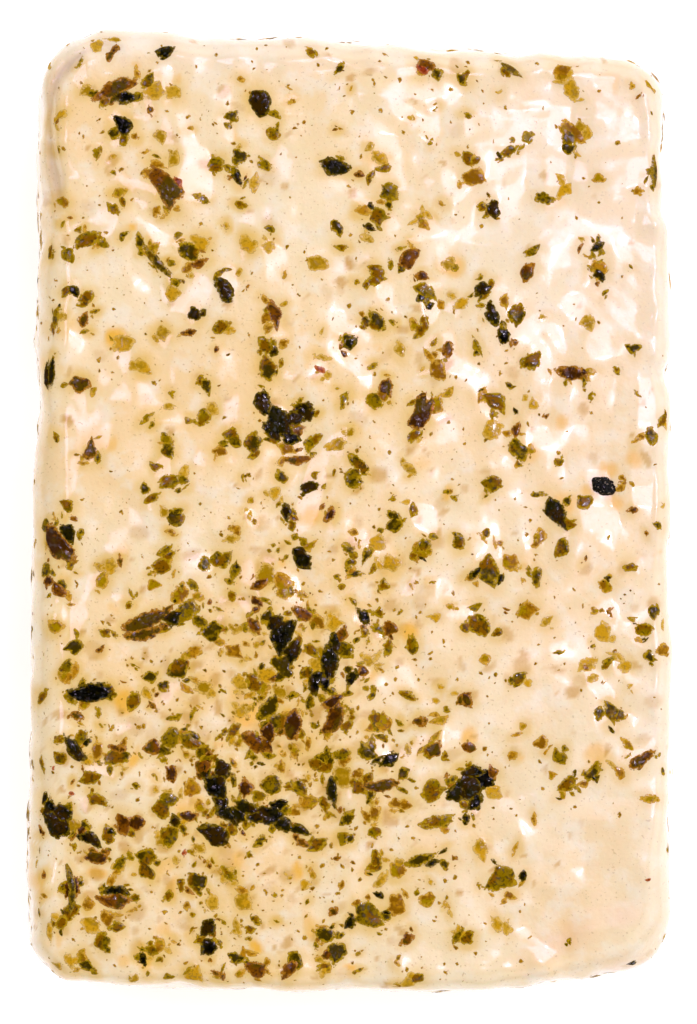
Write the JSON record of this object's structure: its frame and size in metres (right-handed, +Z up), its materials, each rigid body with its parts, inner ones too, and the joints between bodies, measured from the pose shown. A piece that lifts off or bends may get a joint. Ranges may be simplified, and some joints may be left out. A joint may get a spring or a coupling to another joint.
{
  "type": "wild garlic cheese block",
  "caption": "Rectangular slab of pale soft cheese with torn wild garlic leaves, herb flakes and pepper pressed into its surface.",
  "frame": {"origin": "centre of the resting face, below the middle of the slab", "axes": "+Z up through the thickness, +Y along the length towards the slightly narrower end, +X across"},
  "size_m": [0.0778, 0.1152, 0.0251],
  "materials": {
    "cheese": "moist and glossy pale cream, flecked with dark green and brown herbs"
  },
  "bodies": {
    "root": {"cheese": "cheese"}
  },
  "joints": []
}
